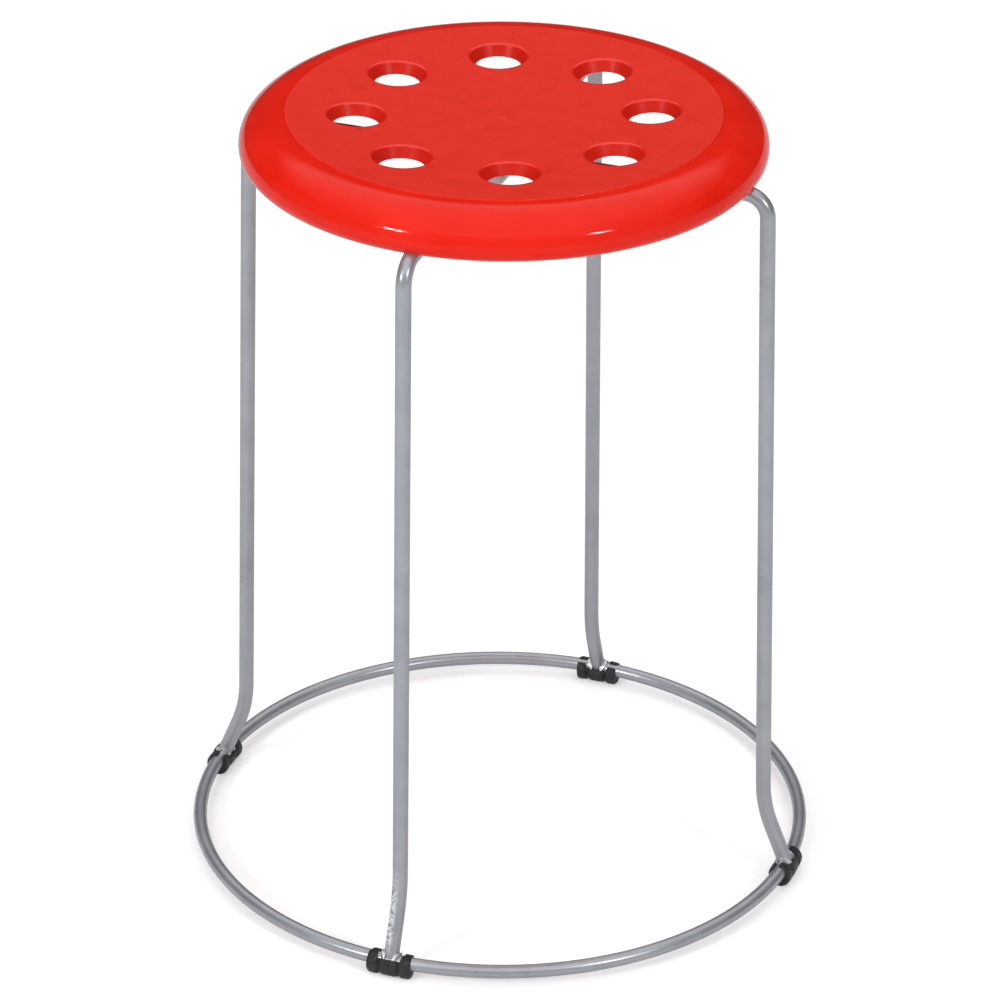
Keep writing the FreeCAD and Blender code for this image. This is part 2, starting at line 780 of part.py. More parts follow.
def foot_block(body):
    """A slim channel with three broader lobes, before it is opened for the ring."""
    waist = new_sketch(body, "waist")
    draw(waist, foot_section("foot_waist"))
    pad(body, waist, "foot_length", both_ways=True)
    middle = new_sketch(body, "middle")
    draw(middle, foot_section("foot_lobe"))
    pad(body, middle, "foot_middle_lobe", both_ways=True)
    end = new_sketch(body, "end", offset="foot_length / 2 - foot_end_lobe")
    draw(end, foot_section("foot_lobe"))
    end_lobe = pad(body, end, "foot_end_lobe")
    lobes = mirror(body, end_lobe, "XZ_Plane")
    reach = size("foot_lobe")
    centre = size("ring_radius")

    def lobe_outline(edge):
        box = edge.BoundBox
        beside = max(abs(box.XMin - centre), abs(box.XMax - centre)) > reach - NEARLY
        return box.YLength < NEARLY < box.ZLength and beside

    return round_edges(body, lobes, "foot_lobe_round", lobe_outline)


def make_foot(side, turn):
    """A clip-on foot that grips the ring from below and stands flat on the floor."""
    body = new_body(f"foot_{side}", turn)
    foot_block(body)
    sole = new_sketch(body, "sole", "XY_Plane")
    inner, outer = "ring_radius - 2 * foot_lobe", "ring_radius + 2 * foot_lobe"
    draw(sole, [(inner, "-foot_length"), (outer, "-foot_length"),
                (outer, "foot_length"), (inner, "foot_length")])
    pad(body, sole, "foot_lobe", kind="PartDesign::Pocket")
    grip = new_sketch(body, "grip")
    draw_circle(grip, "ring_radius", "ring_height", "ring_rod / 2 + foot_fit")
    revolve(body, grip, "PartDesign::Groove")
    mouth = new_sketch(body, "mouth")
    top = "ring_height + 2 * outer_wall_rise"
    left, right = "ring_radius - foot_mouth / 2", "ring_radius + foot_mouth / 2"
    draw(mouth, [(left, "ring_height"), (right, "ring_height"), (right, top), (left, top)])
    revolve(body, mouth, "PartDesign::Groove")
    notch = new_sketch(body, "notch")
    low, far = "ring_height - leg_notch_drop", "ring_radius + leg_notch_bite"
    draw(notch, [(inner, low), (far, low), (far, top), (inner, top)])
    pad(body, notch, "leg_notch_width", both_ways=True, kind="PartDesign::Pocket")
    return body


def fail_on_errors():
    """Stops if any object of the document failed or lacks a sound shape."""
    for item in doc.Objects:
        if "Invalid" in item.State or "Error" in item.State:
            raise RuntimeError(f"{item.Name} failed: {item.State}")


def main():
    """Builds every piece, tests the document and writes one file for each piece."""
    pieces = [
        make_seat(),
        make_hoop("leg_hoop_left_right", 0.0, dipped=False),
        make_hoop("leg_hoop_front_back", 90.0, dipped=True),
        make_floor_ring(),
        make_crossing_weld(),
        make_screws(),
    ]
    for side, turn in LEG_TURNS.items():
        pieces += [make_foot(side, turn), make_tab(side, turn), make_leg_weld(side, turn)]
    doc.recompute()
    fail_on_errors()
    for piece in pieces:
        if piece.Shape.isNull() or not piece.Shape.isValid() or not piece.Shape.Solids:
            raise RuntimeError(f"{piece.Label} has no sound shape")
    os.makedirs("parts", exist_ok=True)
    for piece in pieces:
        piece.Shape.exportStep(f"parts/{piece.Label}.step")
        print(piece.Label, len(piece.Shape.Solids), round(piece.Shape.Volume, 1))


main()
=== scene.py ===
"""Looks of the stacking stool: red moulded seat, silver-grey rods, black clip feet.

Sizes are in millimetres, in the frame of the solids, and MM turns them into metres.
"""
import math

import bmesh
import bpy
from mathutils import Matrix, Vector, noise as lumps


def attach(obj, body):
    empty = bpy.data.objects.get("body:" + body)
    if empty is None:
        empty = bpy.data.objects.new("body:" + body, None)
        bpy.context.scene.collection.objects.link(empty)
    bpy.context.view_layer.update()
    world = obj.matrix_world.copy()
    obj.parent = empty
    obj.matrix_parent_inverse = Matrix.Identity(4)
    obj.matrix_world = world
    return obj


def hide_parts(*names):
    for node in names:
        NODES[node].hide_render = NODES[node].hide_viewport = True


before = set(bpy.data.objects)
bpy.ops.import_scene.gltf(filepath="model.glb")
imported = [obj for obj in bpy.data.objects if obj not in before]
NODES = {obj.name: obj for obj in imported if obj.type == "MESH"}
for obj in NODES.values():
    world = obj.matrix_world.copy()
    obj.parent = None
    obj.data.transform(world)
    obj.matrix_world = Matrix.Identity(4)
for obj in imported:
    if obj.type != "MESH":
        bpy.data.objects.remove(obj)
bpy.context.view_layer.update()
MM = 0.001
NEARLY = 0.01
QUARTER = math.pi / 2

# Seat sizes, in millimetres
SEAT_TOP = 450.0
WALL = 3.0
DISH_EDGE = 118.8
DISH_DEPTH = 3.8
DISH_LOW = SEAT_TOP - DISH_DEPTH
DISH_RADIUS = (DISH_EDGE ** 2 + DISH_DEPTH ** 2) / (2 * DISH_DEPTH)
EDGE_STEP = 0.5
CREST_DROP = 0.6
WIDEST = 144.2
TOP_ROUND = 26.0
SIDE_ROUND = 15.0
LIP_ROUND = 8.0
TOP_TURN = math.radians(42.5)
LIP_TURN = math.radians(65.0)

# The lip's rounded edge: share of the way across it, and bulge in millimetres
LIP_EDGE = ((0.15, 0.35), (0.35, 0.62), (0.65, 0.62), (0.85, 0.35))

# Holes of the seat, in millimetres
HOLES = 8
HOLE_PITCH = 80.0
HOLE_THROAT = 12.84
HOLE_MOUTH = 17.1
HOLE_ROUND = 1.5
HOLE_TAPER = math.radians(27.0)
HOLE_DEPTH = 6.5
MOUTH_RISE = 0.078
MOUTH_MARGIN = 1.2
COLLAR_RADIUS = 15.3
COLLAR_EDGE = 0.5
COLLAR_EASE = 0.15
TOP_OPENING = 22.5
UNDER_OPENING = 20.5
OPENING_REACH = 30.0

# Underside of the seat, in millimetres
RIB_WALL = 2.4
RIB_FOOT = 438.2
RIB_CIRCLES = (50.0, 110.0)
RIB_DRAFT = 0.12
RIB_CHAMFER = 0.35
SLAB_BEVEL = 0.25
HUB_RADIUS = 16.0
HUB_CLEARANCE = 0.3
SADDLE_START = 120.0
SADDLE_WIDTH = 17.0
SADDLE_GRIP = 1.8
SADDLE_SINK = 0.4
SADDLE_RIB_SINK = 0.3
SADDLE_RIB_INSET = 1.0
ROD_FIT = 0.15
BOSS_REACH = 112.0
BOSS_OFFSET = 11.05
BOSS_RADIUS = 5.0
BOSS_BORE = 2.08
BOSS_DRAFT = 0.15
BOSS_EDGE = 0.4
BORE_EDGE = 0.3
TAB_TOP = 423.6

# Frame sizes, in millimetres
LEG_ROD = 4.3
RING_ROD = 3.85
RING_RADIUS = 174.6
RING_HEIGHT = 8.7
ROD_HEIGHT = 422.5
TOP_BEND = 13.0
LEAN = math.radians(1.415)
KNEE_RADIUS = 159.4
KNEE_HEIGHT = 60.0
FLARE = math.radians(22.5)
FLARE_BEND = 75.0
LEG_END_GAP = 1.8
DIP_FLAT = 9.0
DIP_BEND = 20.0

# Foot sizes, in millimetres; a band is the middle and the half length of its barrel
FOOT_HALF = 12.5
FOOT_WIDE = 6.62
FOOT_TALL = 6.95
FOOT_MIDDLE = 6.6
FOOT_FIT = 0.06
FOOT_GROOVES = (-5.7, 5.7)
GROOVE_HALF = 1.25
GROOVE_DEPTH = 1.15
FOOT_BANDS = ((-9.3, 3.6), (0.0, 5.0), (9.3, 3.6))
BARREL_DEPTH = 0.55
FOOT_END_ROUND = 1.2
FOOT_END_STEP = 0.2
NOTCH_HALF = 7.0
NOTCH_EASE = 0.6

# Where the foot's section begins and ends, in degrees, on the leg's seat and beside it
TIPS_AT_LEG = (34, 176)
TIPS_BESIDE_LEG = (92, 138)
TIP_BULGE = 0.8

# Wrinkles of the feet: lumps per millimetre and height, and what stays smooth
WRINKLES = ((0.55, 0.16), (1.3, 0.10))
SOLE_SMOOTH = 0.4
SIDE_SMOOTH = 0.35

# Fineness of the meshes
PLATE_RADII = [0, 12, 24, 36, 46, *range(50, 111, 3), 113, 116]
SEAT_STEPS = 256
OUTER_STEPS = 12
INNER_STEPS = 10
BOSS_STEPS = 48
CHANNEL_STEPS = 20
RING_STEPS = 256
RING_SIDES = 28
ROD_ROUNDNESS = 10
BEND_STEP = math.radians(5)
FOOT_STEPS = 100
FOOT_SKIN = 44
TIP_STEPS = 6

# Colours from dark to light, as linear red, green and blue
PLATE_RED = ((0.74, 0.027, 0.014), (0.80, 0.033, 0.019))
RIM_RED = ((0.76, 0.014, 0.005), (0.82, 0.019, 0.008))
# The holes' walls: the seat's red made darker, as painted shade inside the holes
HOLE_RED_PAINTED_SHADE = ((0.56, 0.013, 0.006), (0.62, 0.018, 0.009))
SILVER = ((0.35, 0.365, 0.40), (0.41, 0.425, 0.46))
# White flecks on the front leg: bare metal of chips, and partly a painted highlight
CHIP_AND_HIGHLIGHT_WHITE = (0.86, 0.88, 0.90)
CHIP_DARK = (0.02, 0.02, 0.025)
WELD_GREY = ((0.60, 0.61, 0.62), (0.90, 0.90, 0.91))
ZINC = ((0.50, 0.49, 0.46), (0.64, 0.64, 0.62))
FOOT_BLACK = ((0.004, 0.004, 0.005), (0.022, 0.023, 0.026))

# Range in which nearly all of a noise lies
NOISE_LOW = 0.3
NOISE_HIGH = 0.7

# Slots of the seat's materials, and how far round a hole and below the dish they reach
RIM, PLATE, HOLE_WALL, HOLE_EDGE = range(4)
HOLE_MARGIN = 0.1
HOLE_EDGE_DEPTH = 0.9
PLATE_DEPTH = 0.25

# Studio, in metres and watts
FLOOR_SIZE = 12.0
FLOOR_WHITE = 0.82
FLOOR_GLOW = 0.35
FLOOR_ROUGH = 0.9
LAMP_AIM = (0, 0, 0.3)
LAMP_WIDTH = 0.40
LAMP_HEIGHT = 0.20
LAMPS = {
    "lamp_left": ((-1.1, -2.2, 1.45), 22.0),
    "lamp_right": ((2.3, -1.25, 1.7), 18.0),
}

# Camera at the photograph's place, in metres, with its lens and sensor in millimetres
CAMERA_AZIMUTH = math.radians(20.07)
CAMERA_DISTANCE = 2.4191
CAMERA_HEIGHT = 1.4893
CAMERA_PITCH = math.radians(27.856)
CAMERA_ROLL = math.radians(0.334)
CAMERA_YAW = math.radians(0.024)
CAMERA_LENS = 174.57
CAMERA_SENSOR = 36.0
CAMERA_FAR = 50.0


# Handling of objects and selections

def deselect():
    """Leaves nothing selected."""
    for obj in bpy.context.selected_objects:
        obj.select_set(False)


def take(obj):
    """Makes obj the one selected and active object."""
    deselect()
    obj.select_set(True)
    bpy.context.view_layer.objects.active = obj


def name_new(name):
    """Names the object that an operator has just made, and its mesh."""
    obj = bpy.context.active_object
    obj.name = name
    obj.data.name = name
    return obj


def link(obj):
    """Puts a new object into the scene."""
    bpy.context.scene.collection.objects.link(obj)
    return obj


def bake_place(obj):
    """Moves an object's place and turn into its mesh."""
    take(obj)
    bpy.ops.object.transform_apply(location=True, rotation=True, scale=True)
    return obj


def set_down(obj, turn, shift=(0, 0, 0)):
    """Shifts a piece by millimetres, then turns it about the seat's axis."""
    obj.location = [value * MM for value in shift]
    bake_place(obj)
    obj.rotation_euler = (0, 0, turn)
    return bake_place(obj)


def pick(obj, mode, test):
    """In edit mode, selects the edges or faces whose middle passes a test."""
    bpy.ops.mesh.select_mode(type=mode)
    bpy.ops.mesh.select_all(action="DESELECT")
    mesh = bmesh.from_edit_mesh(obj.data)
    count = 0
    for part in mesh.edges if mode == "EDGE" else mesh.faces:
        if mode == "EDGE":
            middle = (part.verts[0].co + part.verts[1].co) / 2
        else:
            middle = part.calc_center_median()
        if test(middle, part):
            part.select_set(True)
            count += 1
    mesh.select_flush_mode()
    bmesh.update_edit_mesh(obj.data)
    return count


def drawn_line(name, points):
    """An object that is one chain of edges through the points, drawn by extrusion."""
    deselect()
    bpy.ops.mesh.primitive_plane_add(size=MM, location=points[0])
    obj = name_new(name)
    bake_place(obj)
    bpy.ops.object.mode_set(mode="EDIT")
    bpy.ops.mesh.select_all(action="SELECT")
    bpy.ops.mesh.merge(type="CENTER")
    for start, end in zip(points, points[1:]):
        step = Vector(end) - Vector(start)
        bpy.ops.mesh.extrude_vertices_move(TRANSFORM_OT_translate={"value": step})
    bpy.ops.object.mode_set(mode="OBJECT")
    return obj


def face_outward():
    """In edit mode, selects all and turns every face outward."""
    bpy.ops.mesh.select_all(action="SELECT")
    bpy.ops.mesh.normals_make_consistent(inside=False)


def spun(name, profile, steps):
    """Turns a chain of (radius, height) points in millimetres right round the Z axis."""
    obj = drawn_line(name, [(r * MM, 0.0, z * MM) for r, z in profile])
    bpy.ops.object.mode_set(mode="EDIT")
    bpy.ops.mesh.select_all(action="SELECT")
    bpy.ops.mesh.spin(steps=steps, angle=math.tau, center=(0, 0, 0), axis=(0, 0, 1))
    bpy.ops.mesh.select_all(action="SELECT")
    bpy.ops.mesh.remove_doubles(threshold=NEARLY * MM)
    face_outward()
    bpy.ops.object.mode_set(mode="OBJECT")
    return obj


def extruded(name, outline, length, bevel=0.0):
    """A bar from an outline of (out, up) points in millimetres, half its length to each
    side of the plane through the seat's axis."""
    obj = drawn_line(name, [(x * MM, -length / 2 * MM, z * MM) for x, z in outline])
    bpy.ops.object.mode_set(mode="EDIT")
    bpy.ops.mesh.select_all(action="SELECT")
    bpy.ops.mesh.edge_face_add()
    bpy.ops.mesh.extrude_region_move(TRANSFORM_OT_translate={"value": (0, length * MM, 0)})
    face_outward()
    if bevel:
        bpy.ops.mesh.bevel(offset=bevel * MM, segments=2, affect="EDGES")
    bpy.ops.object.mode_set(mode="OBJECT")
    return obj


def arc(centre_x, centre_y, radius, start, end, steps):
    """Points of an arc after its start point, with angles in radians."""
    turns = [start + (end - start) * i / steps for i in range(1, steps + 1)]
    return [(centre_x + radius * math.cos(a), centre_y + radius * math.sin(a)) for a in turns]


def join(main, others):
    """Joins other objects into the main one."""
    take(main)
    for other in others:
        other.select_set(True)
    bpy.ops.object.join()
    return main


def carve(obj, cutters):
    """Cuts the cutters out of a piece."""
    for cutter in cutters:
        take(obj)
        cut = obj.modifiers.new("cut", "BOOLEAN")
        cut.operation = "DIFFERENCE"
        cut.solver = "EXACT"
        cut.object = cutter
        bpy.ops.object.modifier_apply(modifier="cut")
    return obj


# Nodes of the materials

def new_material(name):
    """A material with its node tree and its Principled shader."""
    material = bpy.data.materials.new(name)
    material.use_nodes = True
    tree = material.node_tree
    shader = next(node for node in tree.nodes if node.type == "BSDF_PRINCIPLED")
    return material, tree, shader


def add(tree, kind, **values):
    """A node with properties or input values."""
    node = tree.nodes.new(kind)
    for key, value in values.items():
        if key in node.inputs:
            node.inputs[key].default_value = value
        else:
            setattr(node, key, value)
    return node


def noise(tree, where, scale, detail=4.0, rough=0.55):
    """Noise in object space, scale in features per metre."""
    node = add(tree, "ShaderNodeTexNoise", Scale=scale, Detail=detail, Roughness=rough)
    tree.links.new(where, node.inputs["Vector"])
    return node.outputs["Fac"]


def ramp(tree, source, low, high, from_low=NOISE_LOW, from_high=NOISE_HIGH):
    """Maps a number from one range, by default a noise's, to another, held at the ends."""
    node = tree.nodes.new("ShaderNodeMapRange")
    tree.links.new(source, node.inputs["Value"])
    node.inputs["From Min"].default_value = from_low
    node.inputs["From Max"].default_value = from_high
    node.inputs["To Min"].default_value = low
    node.inputs["To Max"].default_value = high
    return node.outputs["Result"]


def mix_colour(tree, factor, first, second):
    """Mixes two colours, or sockets, by a factor."""
    node = tree.nodes.new("ShaderNodeMix")
    node.data_type = "RGBA"
    tree.links.new(factor, node.inputs["Factor"])
    for value, socket in ((first, node.inputs["A"]), (second, node.inputs["B"])):
        if isinstance(value, bpy.types.NodeSocket):
            tree.links.new(value, socket)
        else:
            socket.default_value = (*value, 1.0)
    return node.outputs["Result"]


def bump(tree, shader, height, distance, strength=1.0, before=None):
    """Feeds a height to the shader's normal, over an earlier bump if there is one."""
    node = tree.nodes.new("ShaderNodeBump")
    node.inputs["Distance"].default_value = distance
    node.inputs["Strength"].default_value = strength
    tree.links.new(height, node.inputs["Height"])
    if before:
        tree.links.new(before, node.inputs["Normal"])
    tree.links.new(node.outputs["Normal"], shader.inputs["Normal"])
    return node.outputs["Normal"]


def object_space(tree):
    """Object coordinates."""
    return tree.nodes.new("ShaderNodeTexCoord").outputs["Object"]


def coordinate(tree, where, axis):
    """One coordinate of a place."""
    node = tree.nodes.new("ShaderNodeSeparateXYZ")
    tree.links.new(where, node.inputs[0])
    return node.outputs[axis]


def combined(tree, operation, first, second):
    """Two numbers added or multiplied."""
    node = add(tree, "ShaderNodeMath", operation=operation)
    tree.links.new(first, node.inputs[0])
    tree.links.new(second, node.inputs[1])
    return node.outputs[0]


def product(tree, *numbers):
    """Numbers multiplied, one after another."""
    result = numbers[0]
    for number in numbers[1:]:
        result = combined(tree, "MULTIPLY", result, number)
    return result


# Materials

def plate_plastic():
    """Finely textured, satin top of the dish, with the mould's gate mark in the middle."""
    material, tree, shader = new_material("seat_plate_textured")
    where = object_space(tree)
    cloud = noise(tree, where, scale=90.0, detail=3.0)
    grain = noise(tree, where, scale=900.0, detail=2.0, rough=0.6)
    colour = mix_colour(tree, ramp(tree, cloud, 0.0, 1.0), *PLATE_RED)
    tree.links.new(colour, shader.inputs["Base Color"])
    shader.inputs["Specular IOR Level"].default_value = 0.11
    tree.links.new(ramp(tree, grain, 0.42, 0.58), shader.inputs["Roughness"])
    textured = bump(tree, shader, grain, distance=0.25 * MM, strength=0.5)
    flat = add(tree, "ShaderNodeVectorMath", operation="MULTIPLY")
    flat.inputs[1].default_value = (1, 1, 0)
    tree.links.new(where, flat.inputs[0])
    reach = add(tree, "ShaderNodeVectorMath", operation="LENGTH")
    tree.links.new(flat.outputs[0], reach.inputs[0])
    gate = ramp(tree, reach.outputs["Value"], 1.0, 0.0, 2.2 * MM, 3.2 * MM)
    bump(tree, shader, gate, distance=0.3 * MM, strength=1.0, before=textured)
    return material


def rim_plastic(name, tones, rough, gloss):
    """Polished plastic of the rim, or the rougher walls of the holes, whose darker red is painted
    shade.
    """
    material, tree, shader = new_material(name)
    shader.inputs["Specular IOR Level"].default_value = gloss
    where = object_space(tree)
    cloud = noise(tree, where, scale=40.0, detail=3.0)
    smear = noise(tree, where, scale=220.0, detail=5.0)
    colour = mix_colour(tree, ramp(tree, cloud, 0.0, 1.0), *tones)
    tree.links.new(colour, shader.inputs["Base Color"])
    tree.links.new(ramp(tree, smear, *rough), shader.inputs["Roughness"])
    bump(tree, shader, smear, distance=0.02 * MM, strength=0.3)
    return material


def chips_and_highlight(tree, shader, where, colour):
    """The colour of the paint with its chips, low on the left of the front leg. The white flecks
    are partly bare metal of chips and partly a painted highlight on that side; the dark specks are
    chip edges.
    """
    above = ramp(tree, coordinate(tree, where, "Z"), 0.0, 1.0, 13 * MM, 22 * MM)
    below = ramp(tree, coordinate(tree, where, "Z"), 1.0, 0.0, 40 * MM, 62 * MM)
    front = ramp(tree, coordinate(tree, where, "Y"), 1.0, 0.0, -158 * MM, -150 * MM)
    left = ramp(tree, coordinate(tree, where, "X"), 1.0, 0.0, -1.2 * MM, 1.2 * MM)
    place = product(tree, product(tree, above, below), product(tree, front, left))
    flake = noise(tree, where, scale=330.0, detail=5.0, rough=0.7)
    speck = noise(tree, where, scale=520.0, detail=3.0, rough=0.6)
    # White flecks on the leg's left side: partly chips, partly a painted highlight
    bright = product(tree, place, ramp(tree, flake, 0.0, 1.0, 0.44, 0.50))
    dark = product(tree, place, ramp(tree, speck, 0.0, 1.0, 0.62, 0.65))
    colour = mix_colour(tree, bright, colour, CHIP_AND_HIGHLIGHT_WHITE)
    colour = mix_colour(tree, dark, colour, CHIP_DARK)
    bump(tree, shader, bright, distance=0.2 * MM, strength=0.6)
    return colour


def rod_paint(chipped_and_highlit=False):
    """Silver-grey paint with a fine orange peel, or in its place chips and a painted highlight."""
    material, tree, shader = new_material("rod_paint_worn_highlit" if chipped_and_highlit else "rod_paint_silver")
    where = object_space(tree)
    cloud = noise(tree, where, scale=60.0, detail=4.0)
    colour = mix_colour(tree, ramp(tree, cloud, 0.0, 1.0), *SILVER)
    if chipped_and_highlit:
        colour = chips_and_highlight(tree, shader, where, colour)
    else:
        peel = noise(tree, where, scale=700.0, detail=3.0)
        bump(tree, shader, peel, distance=0.01 * MM, strength=0.3)
    tree.links.new(colour, shader.inputs["Base Color"])
    shader.inputs["Metallic"].default_value = 0.6
    tree.links.new(ramp(tree, cloud, 0.27, 0.33), shader.inputs["Roughness"])
    return material


def weld_metal():
    """Bright rippled weld."""
    material, tree, shader = new_material("weld_bare")
    where = object_space(tree)
    ripple = noise(tree, where, scale=900.0, detail=3.0)
    tree.links.new(mix_colour(tree, ripple, *WELD_GREY), shader.inputs["Base Color"])
    shader.inputs["Metallic"].default_value = 0.9
    tree.links.new(ramp(tree, ripple, 0.22, 0.5), shader.inputs["Roughness"])
    bump(tree, shader, ripple, distance=0.4 * MM, strength=0.8)
    return material


def screw_metal():
    """Zinc plating."""
    material, tree, shader = new_material("screw_zinc")
    where = object_space(tree)
    tone = noise(tree, where, scale=500.0, detail=4.0)
    tree.links.new(mix_colour(tree, tone, *ZINC), shader.inputs["Base Color"])
    shader.inputs["Metallic"].default_value = 1.0
    tree.links.new(ramp(tree, tone, 0.25, 0.45), shader.inputs["Roughness"])
    bump(tree, shader, tone, distance=0.03 * MM, strength=0.4)
    return material


def foot_plastic():
    """Black soft plastic, scuffed and slightly wrinkled."""
    material, tree, shader = new_material("foot_plastic_black")
    where = object_space(tree)
    wrinkle = noise(tree, where, scale=420.0, detail=5.0, rough=0.65)
    dust = noise(tree, where, scale=130.0, detail=5.0, rough=0.65)
    colour = mix_colour(tree, ramp(tree, dust, 0.0, 1.0, 0.35, 0.75), *FOOT_BLACK)
    tree.links.new(colour, shader.inputs["Base Color"])
    tree.links.new(ramp(tree, dust, 0.18, 0.4), shader.inputs["Roughness"])
    bump(tree, shader, wrinkle, distance=1.2 * MM, strength=1.0)
    return material


# Top and rim of the seat

def dish_height(radius):
    """Height of the dish above its centre, both in millimetres."""
    return DISH_RADIUS - math.sqrt(DISH_RADIUS ** 2 - radius ** 2)


def plate_under(radius):
    """Height inside the plate at a radius, halfway between its two skins."""
    return DISH_LOW + dish_height(radius) - WALL / 2


def rim_points(inset, steps):
    """The rim from its crest round to the lip, moved inward by an inset."""
    gap = TOP_ROUND - SIDE_ROUND
    top_x = WIDEST - SIDE_ROUND - gap * math.sin(TOP_TURN)
    top_z = SEAT_TOP - CREST_DROP - TOP_ROUND
    side_x = WIDEST - SIDE_ROUND
    side_z = top_z + gap * math.cos(TOP_TURN)
    lip_x = WIDEST - LIP_ROUND
    points = [(top_x, top_z + TOP_ROUND - inset)]
    points += arc(top_x, top_z, TOP_ROUND - inset, QUARTER, QUARTER - TOP_TURN, steps)
    points += arc(side_x, side_z, SIDE_ROUND - inset, QUARTER - TOP_TURN, 0.0, steps)
    points += arc(lip_x, side_z, LIP_ROUND - inset, 0.0, -LIP_TURN, steps)
    return points


def lip_edge(outer, inner):
    """The rounded edge of the lip, from the outer skin's end to the inner skin's."""
    turn = -LIP_TURN - QUARTER
    points = []
    for share, bulge in LIP_EDGE:
        x = outer[0] + (inner[0] - outer[0]) * share
        z = outer[1] + (inner[1] - outer[1]) * share
        points.append((x + bulge * math.cos(turn), z + bulge * math.sin(turn)))
    return points


def seat_profile():
    """Section of the whole shell, from the axis over the top and back underneath."""
    top_radii = PLATE_RADII + [DISH_EDGE - 1.0, DISH_EDGE - 0.4, DISH_EDGE]
    top = [(r, DISH_LOW + dish_height(r)) for r in top_radii]
    step = arc(DISH_EDGE, SEAT_TOP - EDGE_STEP, EDGE_STEP, QUARTER, 0.0, 4)
    outer = rim_points(0.0, OUTER_STEPS)
    inner = rim_points(WALL, INNER_STEPS)
    edge = lip_edge(outer[-1], inner[-1])
    under = [(r, DISH_LOW - WALL + dish_height(r)) for r in reversed(PLATE_RADII)]
    return top + step + outer + edge + inner[::-1] + under


# Holes of the seat

def hole_centres():
    """Each hole's turn about the axis, its tilt with the dish, and its place in metres."""
    tilt = math.asin(HOLE_PITCH / DISH_RADIUS)
    level = DISH_LOW + dish_height(HOLE_PITCH)
    for index in range(HOLES):
        turn = math.tau * (index + 0.5) / HOLES
        spot = Vector((HOLE_PITCH * math.cos(turn), HOLE_PITCH * math.sin(turn), level)) * MM
        yield turn, tilt, spot


def on_top_skin(middle):
    """Whether a place in metres lies above the middle of the plate's wall."""
    radius = math.hypot(middle.x, middle.y) / MM
    return middle.z > (DISH_LOW - WALL / 2 + dish_height(radius)) * MM


def open_skin(seat, spot, radius, above):
    """Takes away the faces round a hole on the top or the under skin, and gives the
    number of edges of the opening."""
    def over_hole(middle, face):
        flat = Vector((middle.x - spot.x, middle.y - spot.y)).length
        return flat < radius * MM and on_top_skin(middle) == above

    pick(seat, "FACE", over_hole)
    bpy.ops.mesh.delete(type="FACE")
    return pick_openings(seat, spot, above)


def pick_openings(seat, spot, above):
    """Selects the open edges near a hole on one side of the plate."""
    def beside(middle, edge):
        near = (middle - spot).length < OPENING_REACH * MM
        return edge.is_boundary and near and on_top_skin(middle) == above

    return pick(seat, "EDGE", beside)


def funnel_loops():
    """Radii and depths of a hole in millimetres, from the dish round its mouth, down the
    tapered wall, round the collar's end and up to the under skin."""
    end = math.pi - HOLE_TAPER
    loops = [(HOLE_MOUTH + MOUTH_MARGIN, -MOUTH_RISE - NEARLY), (HOLE_MOUTH, -MOUTH_RISE)]
    for radius, height in arc(HOLE_MOUTH, MOUTH_RISE - HOLE_ROUND, HOLE_ROUND, QUARTER, end, 7):
        loops.append((radius, -height))
    loops += [
        (HOLE_THROAT + 0.3, HOLE_DEPTH - 0.55),
        (HOLE_THROAT, HOLE_DEPTH - 0.1),
        (HOLE_THROAT + COLLAR_EASE, HOLE_DEPTH),
        (COLLAR_RADIUS - COLLAR_EDGE, HOLE_DEPTH),
        (COLLAR_RADIUS - COLLAR_EASE, HOLE_DEPTH - COLLAR_EASE),
        (COLLAR_RADIUS, HOLE_DEPTH - COLLAR_EDGE),
        (COLLAR_RADIUS, WALL + COLLAR_EDGE),
        (COLLAR_RADIUS + 0.2, WALL + 0.1),
        (COLLAR_RADIUS + 0.6, WALL),
    ]
    return loops


def cut_hole(seat, turn, tilt, spot):
    """One hole: both skins are opened, and a funnel of loops joins them."""
    axis = Matrix.Rotation(turn, 4, "Z") @ Matrix.Rotation(-tilt, 4, "Y")
    down = axis @ Vector((0, 0, -1))
    take(seat)
    bpy.ops.object.mode_set(mode="EDIT")
    edges = open_skin(seat, spot, TOP_OPENING, True)
    open_skin(seat, spot, UNDER_OPENING, False)
    loops = funnel_loops()
    bpy.ops.mesh.select_all(action="DESELECT")
    bpy.ops.mesh.primitive_circle_add(
        vertices=edges,
        radius=loops[0][0] * MM,
        location=spot + down * loops[0][1] * MM,
        rotation=axis.to_euler(),
    )
    for before, after in zip(loops, loops[1:]):
        bpy.ops.mesh.extrude_edges_move()
        bpy.ops.transform.translate(value=down * (after[1] - before[1]) * MM)
        scale = after[0] / before[0]
        bpy.ops.transform.resize(
            value=(scale, scale, scale),
            center_override=spot + down * after[1] * MM,
        )
    for above in (True, False):
        pick_openings(seat, spot, above)
        bpy.ops.mesh.bridge_edge_loops()
    bpy.ops.object.mode_set(mode="OBJECT")


# Underside of the seat

def rib_ring(name, radius, foot):
    """A closed rib turned about the seat's axis, its top sunk in the plate."""
    top = plate_under(radius)
    inner = radius - RIB_WALL
    return spun(name, [
        (inner, top),
        (inner + RIB_DRAFT, foot + RIB_CHAMFER),
        (inner + RIB_DRAFT + RIB_CHAMFER, foot),
        (radius - RIB_DRAFT - RIB_CHAMFER, foot),
        (radius - RIB_DRAFT, foot + RIB_CHAMFER),
        (radius, top),
        (inner, top),
    ], SEAT_STEPS)


def radial_rib(turn):
    """One rib from the hub to the outer rib circle."""
    start = HUB_RADIUS - RIB_WALL / 2
    end = RIB_CIRCLES[-1] - RIB_WALL / 2
    steps = [start + (end - start) * i / 8 for i in range(9)]
    top = [(r, plate_under(r)) for r in reversed(steps)]
    outline = [(start, RIB_FOOT), (end, RIB_FOOT)] + top
    return set_down(extruded("radial_rib", outline, RIB_WALL, SLAB_BEVEL), turn)


